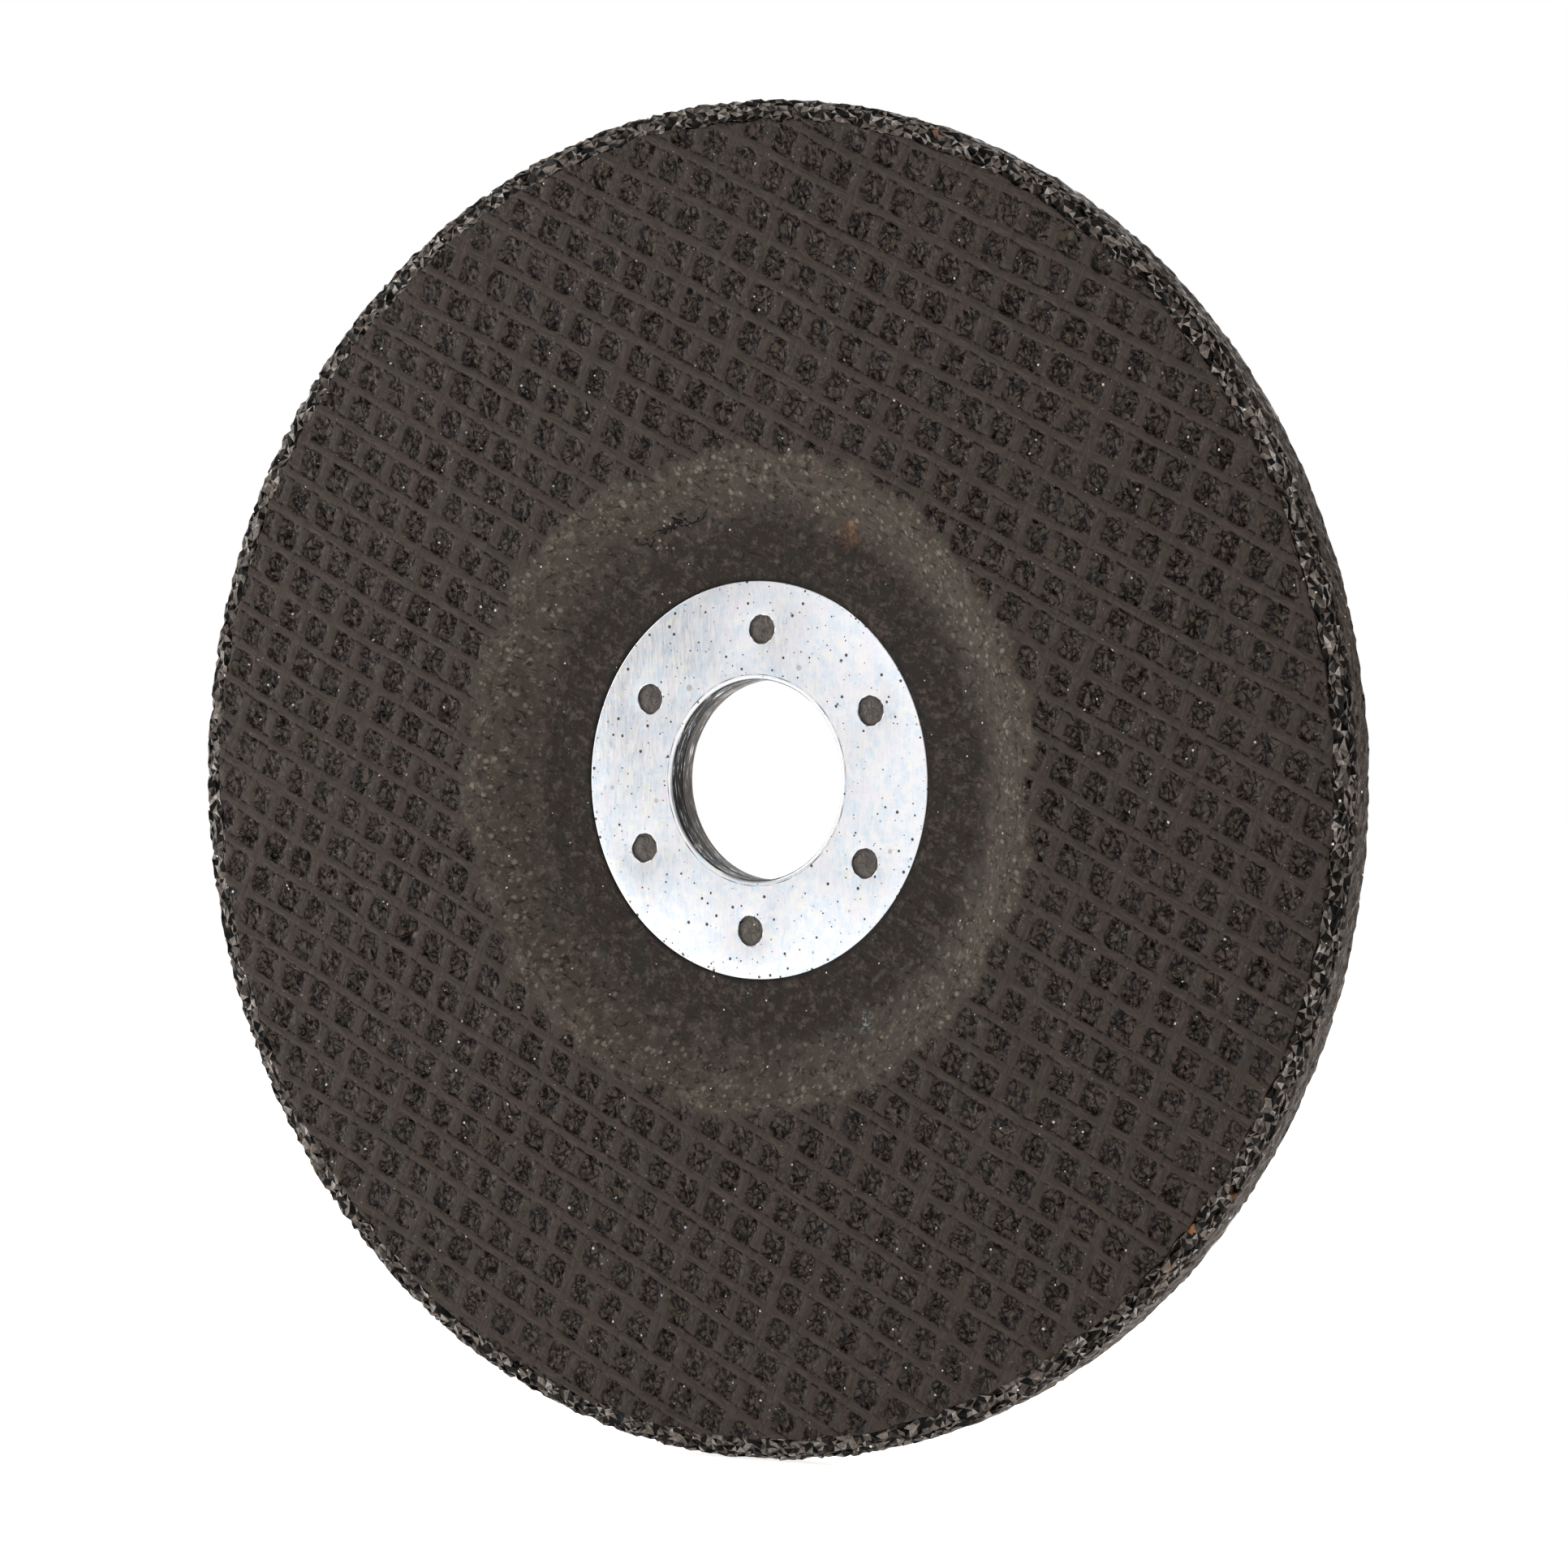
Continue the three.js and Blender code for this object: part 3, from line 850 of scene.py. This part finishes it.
    def finish(self, color, roughness, metallic=0.0, specular=0.5, height=None, strength=0.3, distance=0.05):
        """Close the material. height is a bump, whose distance is in millimetres."""
        inputs = {
            "Base Color": color,
            "Roughness": roughness,
            "Metallic": metallic,
            "Specular IOR Level": specular,
        }
        if height is not None:
            bump = {"Strength": strength, "Distance": distance * MM, "Height": height}
            inputs["Normal"] = self.node("Bump", bump)
        self.node("OutputMaterial", {0: self.node("BsdfPrincipled", inputs)}, None)
        return self.material


def face_material(name):
    """The front of the disc. The weave has dull brown-grey ribs, and dark crumpled resin in its cells, with
    painted glints and painted shade in its folds, in its hollows and along the foot of each rib. The
    shoulder is dusty, bare grain with a rust stain, the floor of the recess is smooth, and painted shade
    lies beside the ring."""
    look = Look(name)
    relief = look.attribute("relief")
    pit = look.between(relief, 0.06, 0.16)
    hue = look.between(look.noise(2.4, 3), 0.44, 0.56)
    fine = look.noise(0.3, 3, 0.65)
    # ribs: fibres run along each yarn
    along_wide = look.noise(1.0, 3, 0.6, look.along(WIDE_RIBS["bearing"], 0.2, 1.8))
    along_thin = look.noise(1.0, 3, 0.6, look.along(THIN_RIBS["bearing"], 0.2, 1.8))
    fibres = look.mix(look.attribute("wide_rib"), look.grey(along_thin), look.grey(along_wide))
    rib = look.mix(hue, (0.0415, 0.0302, 0.0255), (0.0378, 0.0306, 0.0248))
    rib = look.tint(rib, fibres, 0.5, 0.72, (0.059, 0.0468, 0.0395))
    rib = look.tint(rib, fibres, 0.48, 0.3, (0.027, 0.0198, 0.0165))
    # cells: facets of resin, with painted shade along the folds between them
    shard = look.mix(hue, (0.0405, 0.0281, 0.0227), (0.0362, 0.0292, 0.0212))
    shard = look.mix(look.math("POWER", look.attribute("facet"), 1.6), shard, (0.076, 0.058, 0.0472))
    shard = look.tint(shard, look.noise(0.8, 2), 0.6, 0.72, (0.066, 0.045, 0.026))
    creases = look.folds(8, 0.8, 1.9, 0.15, 0.44, 0.5)
    for bearing in (64, 121):
        creases = look.larger(creases, look.folds(bearing, 0.85, 2.1, 0.13, 0.48, 0.54))
    # painted shade: the folds between the facets are darkened
    shard = look.mix(creases, shard, (0.004, 0.0028, 0.0022))
    # painted shade: the deepest parts of the cells are darker, as if in shadow
    shard = look.tint(shard, relief, 0.46, 0.7, (0.008, 0.006, 0.0045), 0.5)
    weave = look.mix(pit, rib, shard)
    # painted shade: a dark line along the foot of each rib, where it meets the cells
    groove = look.times(look.between(relief, 0.09, 0.15), look.between(relief, 0.32, 0.2))
    groove = look.times(groove, look.between(look.noise(1.3, 2), 0.42, 0.6, 0.1, 0.75))
    weave = look.mix(groove, weave, (0.010, 0.008, 0.007))
    # painted glints: a few pale specks in the cells
    weave = look.mix(look.times(look.specks(1.4, 0.1, 0.11), pit), weave, (0.5, 0.47, 0.43))
    weave = look.mix(look.specks(1.5, 0.3, 0.06), weave, (0.17, 0.155, 0.135))
    # the smooth floor of the recess, with marks dragged along one direction
    floor = look.mix(hue, (0.0235, 0.0170, 0.0148), (0.0210, 0.0182, 0.0149))
    floor = look.tint(floor, look.noise(0.9, 4, 0.75), 0.5, 0.64, (0.066, 0.052, 0.0435))
    dragged = look.noise(1.0, 3, 0.6, look.along(THIN_RIBS["bearing"], 0.35, 4))
    floor = look.tint(floor, dragged, 0.6, 0.78, (0.054, 0.045, 0.038))
    floor = look.tint(floor, dragged, 0.38, 0.26, (0.010, 0.008, 0.007))
    # the dusty shoulder
    grit = look.mix(hue, (0.055, 0.0425, 0.0355), (0.0515, 0.044, 0.0337))
    grit = look.tint(grit, look.noise(1.1, 5, 0.78), 0.5, 0.66, (0.112, 0.091, 0.072))
    grit = look.tint(grit, look.noise(1.3, 5, 0.78), 0.53, 0.66, (0.026, 0.0195, 0.0155))
    grit = look.tint(grit, fine, 0.66, 0.76, (0.11, 0.096, 0.082))
    wander = look.between(look.noise(4, 4, 0.65), 0.3, 0.7, -1.8, 1.8)
    shoulder = look.between(look.math("ADD", look.radius(), wander), 27.4, 32.6)
    bare = look.mix(shoulder, floor, grit)
    strokes = look.folds(66, 1.0, 2.4, 0.13, 0.56, 0.64)
    strokes = look.larger(strokes, look.folds(112, 1.2, 2.0, 0.11, 0.58, 0.66))
    bare = look.mix(look.times(strokes, 0.8), bare, (0.012, 0.009, 0.007))
    shown = look.between(shoulder, 0, 1, 0.12, 0.95)
    lumps = look.larger(look.soft_specks(1.2, 0.5, 0.26), look.soft_specks(0.8, 0.3, 0.2))
    bare = look.mix(look.times(lumps, shown), bare, (0.175, 0.15, 0.118))
    bare = look.mix(look.times(look.soft_specks(1.5, 0.3, 0.2), shown), bare, (0.015, 0.0115, 0.009))
    # painted shade in the gap beside the ring, a rust stain, a pale chip, and a crack with crumbs on it
    bare = look.tint(bare, look.radius(), RING_RADIUS + 0.7, RING_RADIUS + 0.1, (0.006, 0.005, 0.004), 0.75)
    for point, reach, size, low, color in STAINS:
        patch = look.times(look.near(point, reach), look.between(look.noise(size, 3), low, 0.6))
        bare = look.mix(patch, bare, color)
    crumbs = look.between(look.near(CRUMBS_PLACE, 3.2), 0.1, 0.5)
    bare = look.mix(look.times(crumbs, look.soft_specks(0.7, 0.4, 0.25)), bare, (0.28, 0.25, 0.19))
    crack = look.math("ADD", look.radius(), look.between(look.noise(2.4, 4, 0.6), 0.3, 0.7, -1.9, 1.9))
    crack = look.math("ABSOLUTE", look.math("SUBTRACT", crack, CRACK_RADIUS), 0)
    crack = look.between(crack, 0.15, 0.4, 1, 0)
    crack = look.times(crack, look.between(look.near(CRACK_PLACE, 6.5), 0.05, 0.3))
    bare = look.mix(crack, bare, (0.005, 0.0035, 0.003))
    bare = look.mix(look.specks(1.6, 0.09, 0.07), bare, (0.5, 0.48, 0.44))
    part = look.attribute("weave")
    color = look.mix(part, bare, weave)
    cell = look.times(pit, part)
    roughness = look.between(cell, 0, 1, 0.75, 0.4)
    height = look.math("ADD", fine, look.times(look.noise(0.12, 2), 0.5))
    grit_height = look.times(look.noise(0.9, 3), look.math("SUBTRACT", 1.0, part))
    height = look.math("ADD", height, look.times(grit_height, 2.2))
    height = look.math("SUBTRACT", height, look.times(look.times(creases, cell), 2.0))
    return look.finish(color, roughness, specular=0.1, height=height, strength=0.6, distance=0.07)


def grain_material(name):
    """Bonded grain: angular black and grey crystals on the face, browner and finer round the edge."""
    look = Look(name)
    facet = look.attribute("facet")
    color = look.tint((0.002, 0.0015, 0.0012), facet, 0.42, 0.48, (0.026, 0.019, 0.0145))
    color = look.tint(color, facet, 0.5, 0.85, (0.165, 0.137, 0.117))
    # painted highlight: the palest few facets, as if catching the light
    color = look.tint(color, facet, 0.93, 0.96, (0.30, 0.275, 0.25))
    brown = look.mix(look.noise(0.5, 3, 0.7), (0.034, 0.0255, 0.020), (0.104, 0.081, 0.067))
    brown = look.tint(brown, facet, 0.15, 0.0, (0.008, 0.006, 0.005))
    brown = look.tint(brown, facet, 0.8, 1.0, (0.13, 0.11, 0.095))
    color = look.mix(look.between(look.depth(), 0.7, 1.6), color, brown)
    rub = look.between(look.noise(0.25, 3, 0.6), 0.35, 0.65, 0.6, 1.25)
    color = look.mix(1.0, color, look.grey(rub), "MULTIPLY")
    _, chance, _ = look.grains(0.8)
    color = look.tint(color, chance, 0.998, 0.999, (0.2, 0.075, 0.025))
    # painted glints: small pale specks on the grain
    color = look.mix(look.specks(0.7, 0.1, 0.24, False), color, (0.7, 0.68, 0.64))
    roughness = look.between(look.noise(0.9, 1), 0.35, 0.65, 0.2, 0.5)
    height = look.noise(0.22, 3, 0.6)
    return look.finish(color, roughness, specular=0.1, height=height, strength=0.3, distance=0.05)


def steel_material(name):
    """Zinc-plated steel: pale, faintly mottled, brushed up and down, with small black pits."""
    look = Look(name)
    mottle = look.between(look.noise(1.0, 4, 0.7), 0.4, 0.6)
    color = look.mix(mottle, (0.525, 0.585, 0.65), (0.655, 0.65, 0.665))
    color = look.tint(color, look.noise(2.6, 3), 0.5, 0.64, (0.655, 0.605, 0.645), 0.6)
    color = look.tint(color, look.noise(2.1, 3), 0.46, 0.36, (0.69, 0.67, 0.62), 0.6)
    streaks = look.noise(1.0, 3, 0.6, look.stretched(8, 8, 0.8))
    color = look.tint(color, streaks, 0.4, 0.66, (0.75, 0.755, 0.76), 0.35)
    color = look.tint(color, look.noise(0.3, 2, 0.7), 0.6, 0.74, (0.44, 0.46, 0.49), 0.4)
    color = look.mix(look.times(look.specks(4.0, 0.3, 0.1), 0.6), color, (0.35, 0.25, 0.21))
    on_flat = look.between(look.radius(), BORE_RADIUS + 0.25, BORE_RADIUS + 0.35)
    at_edge = look.between(look.radius(), RING_RADIUS - 0.7, RING_RADIUS - 0.3)
    pits = look.larger(look.specks(1.5, 0.42, 0.13), look.specks(0.8, 0.22, 0.12))
    pits = look.larger(pits, look.times(look.specks(0.9, 0.6, 0.2), at_edge))
    pits = look.times(pits, on_flat)
    color = look.mix(pits, color, (0.03, 0.026, 0.026))
    # the bore's wall has dark, dull streaks, blacker along the front collar than at the back
    dull_bore_streaks = look.between(look.radius(), BORE_RADIUS + 0.2, BORE_RADIUS + 0.06)
    smear = look.noise(1.0, 3, 0.6, look.stretched(0.45, 6, 0.45))
    dull_bore_streaks = look.times(dull_bore_streaks, look.between(smear, 0.66, 0.58))
    front_bore_tone = look.tint((0.006, 0.005, 0.0045), smear, 0.35, 0.6, (0.035, 0.031, 0.028))
    rear_bore_tone = look.tint((0.075, 0.065, 0.057), smear, 0.35, 0.6, (0.17, 0.15, 0.135))
    at_back = look.between(look.depth(), FRONT_COLLAR_END, REAR_COLLAR_END)
    color = look.mix(dull_bore_streaks, color, look.mix(at_back, front_bore_tone, rear_bore_tone))
    roughness = look.math("ADD", look.between(streaks, 0.3, 0.7, 0.27, 0.37), look.times(dull_bore_streaks, 0.15))
    metallic = look.math("SUBTRACT", 1.0, look.larger(pits, dull_bore_streaks))
    specular = look.between(dull_bore_streaks, 0, 1, 0.5, 0.12)
    height = look.math("SUBTRACT", look.times(streaks, 0.3), pits)
    return look.finish(color, roughness, metallic, specular, height, strength=0.25, distance=0.03)


def paper_material(name):
    """Plain pale paper with fibres, dust and worn ribs."""
    look = Look(name)
    fibres = look.noise(0.6, 4, 0.7, look.stretched(1, 1, 0.3))
    color = look.mix(fibres, (0.50, 0.48, 0.44), (0.64, 0.62, 0.58))
    color = look.tint(color, look.noise(9, 4), 0.45, 0.75, (0.42, 0.40, 0.37), 0.5)
    worn = look.between(look.attribute("relief"), -0.04, 0.0, 0, 0.35)
    color = look.mix(look.times(worn, look.noise(2.0, 3)), color, (0.2, 0.18, 0.17))
    color = look.mix(look.specks(2.2, 0.2, 0.08), color, (0.08, 0.07, 0.07))
    height = look.math("ADD", fibres, look.noise(0.25, 2))
    return look.finish(color, 0.85, specular=0.25, height=height, strength=0.2, distance=0.04)


def plug_material(name):
    """Smooth brown-grey lumps of resin and grain in the punched holes."""
    look = Look(name)
    color = look.mix(look.noise(1.1, 3), (0.022, 0.018, 0.015), (0.125, 0.105, 0.09))
    color = look.mix(look.specks(0.8, 0.1, 0.15), color, (0.5, 0.48, 0.45))
    return look.finish(color, 0.5, specular=0.3, height=look.noise(0.3, 3))


def seam_material(name):
    """Crumbly dark grain between the two collars in the bore."""
    look = Look(name)
    color = look.mix(look.noise(0.4, 3), (0.008, 0.007, 0.006), (0.06, 0.05, 0.045))
    color = look.mix(look.specks(0.5, 0.15, 0.2), color, (0.4, 0.38, 0.36))
    return look.finish(color, 0.5, height=look.noise(0.2, 3), strength=0.6)


steel = steel_material("zinc_steel")
face = face_material("resin_and_grain")
grain = grain_material("bonded_grain")
plugs = plug_material("plug_grain")
paper = paper_material("label_paper")
seam = seam_material("bore_seam")

PIECES = (
    (front_ring, steel, "zinc_steel", ("front_hub_ring",)),
    (rear_ring, steel, "zinc_steel", ("rear_hub_ring",)),
    (working_face, face, "resin_glass_mesh", ("front_glass_mesh",)),
    (rear_weave, face, "resin_glass_mesh", ("rear_glass_mesh",)),
    (recess_grain, face, "bonded_grain", ("front_grain_layer",)),
    (front_rim, grain, "bonded_grain", ("front_grain_layer",)),
    (front_plugs, plugs, "bonded_grain", ("front_grain_layer",)),
    (bore_seam, seam, "bonded_grain", ("front_grain_layer",)),
    (rear_rim, grain, "bonded_grain", ("rear_grain_layer",)),
    (rear_plugs, plugs, "bonded_grain", ("rear_grain_layer",)),
    (paper_label, paper, "label_paper", ("rear_label",)),
)
for piece, material, slot, nodes in PIECES:
    piece.data.materials.append(material)
    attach(piece, "root")
    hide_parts(*nodes)

middle_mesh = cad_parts["middle_glass_mesh"]
middle_mesh.data.materials.clear()
middle_mesh.data.materials.append(face)

# Floor, light and camera

FLOOR_SIZE = 6.0
FLOOR_GLOW = 0.8
floor_height = cad_bounds[0][2]
bpy.ops.mesh.primitive_plane_add(size=FLOOR_SIZE, location=(0, 0, floor_height))
floor = bpy.context.object
floor.name = "floor"
floor_look = Look("studio_floor")
floor_tone = floor_look.mix(floor_look.noise(40, 2), (0.9, 0.9, 0.9), (0.93, 0.93, 0.93))
floor_material = floor_look.finish(floor_tone, 0.6, specular=0.1)
floor_shader = next(n for n in floor_material.node_tree.nodes if n.type == "BSDF_PRINCIPLED")
floor_shader.inputs["Emission Color"].default_value = (1, 1, 1, 1)
floor_shader.inputs["Emission Strength"].default_value = FLOOR_GLOW
floor.data.materials.append(floor_material)


def soft_light(name, bearing, height, distance, size, power):
    """A square soft box that looks at the disc. bearing is counted from straight in front, to the right."""
    data = bpy.data.lights.new(name, "AREA")
    data.shape = "SQUARE"
    data.size = size
    data.energy = power
    lamp = bpy.data.objects.new(name, data)
    direction = Vector((
        math.sin(bearing) * math.cos(height),
        -math.cos(bearing) * math.cos(height),
        math.sin(height),
    ))
    lamp.location = direction * distance
    lamp.rotation_euler = direction.to_track_quat("Z", "Y").to_euler()
    bpy.context.scene.collection.objects.link(lamp)


# name, bearing and height in degrees, distance and size in metres, power in watts
LIGHTS = (
    ("key", -16, 15.5, 0.9, 0.5, 1.15),
    ("near_left", -81, 12, 0.38, 0.34, 1.7),
    ("top", 5, 60, 0.9, 0.22, 1.6),
    ("right", 80, 20, 1.0, 0.2, 0.64),
    ("back", 190, 35, 1.1, 0.9, 4.0),
)
for name, bearing, height, distance, size, power in LIGHTS:
    soft_light(name, math.radians(bearing), math.radians(height), distance, size, power)

# A white backdrop, which lights the disc less than it shines itself.
BACKDROP_STRENGTH = 1.0
FILL_STRENGTH = 0.3
world = bpy.data.worlds.new("studio")
world.use_nodes = True
bpy.context.scene.world = world
nodes = world.node_tree.nodes
link = world.node_tree.links.new
seen = nodes.new("ShaderNodeLightPath")
either = nodes.new("ShaderNodeMixShader")
link(seen.outputs["Is Camera Ray"], either.inputs[0])
shades = ((nodes.new("ShaderNodeBackground"), FILL_STRENGTH), (nodes["Background"], BACKDROP_STRENGTH))
for place, (shade, strength) in enumerate(shades, start=1):
    shade.inputs["Color"].default_value = (1, 1, 1, 1)
    shade.inputs["Strength"].default_value = strength
    link(shade.outputs[0], either.inputs[place])
link(either.outputs[0], nodes["World Output"].inputs[0])
bpy.context.scene.view_settings.view_transform = "Standard"

# The camera stands level with the hub, to the right of the axis, and the disc leans back a little.
CAMERA_YAW = math.radians(32.27)
CAMERA_LEAN = math.radians(-0.652)
CAMERA_DISTANCE = 0.575
HUB_RIGHT = -0.00312
HUB_UP = 0.00043
SENSOR = 36.0
LENS = 119.22
NEAR_CLIP = 0.01
FAR_CLIP = 20

camera_data = bpy.data.cameras.new("camera")
camera_data.sensor_width = SENSOR
camera_data.lens = LENS
camera_data.clip_start = NEAR_CLIP
camera_data.clip_end = FAR_CLIP
camera = bpy.data.objects.new("camera", camera_data)
turn = (
    Matrix.Rotation(CAMERA_LEAN, 4, "X")
    @ Matrix.Rotation(CAMERA_YAW, 4, "Z")
    @ Matrix.Rotation(math.pi / 2, 4, "X")
)
hub = Vector((0, (RECESS_DEPTH + FACE_Y) * MM, 0))
stand_off = Matrix.Translation((-HUB_RIGHT, -HUB_UP, CAMERA_DISTANCE))
camera.matrix_world = Matrix.Translation(hub) @ turn @ stand_off
bpy.context.scene.collection.objects.link(camera)
bpy.context.scene.camera = camera
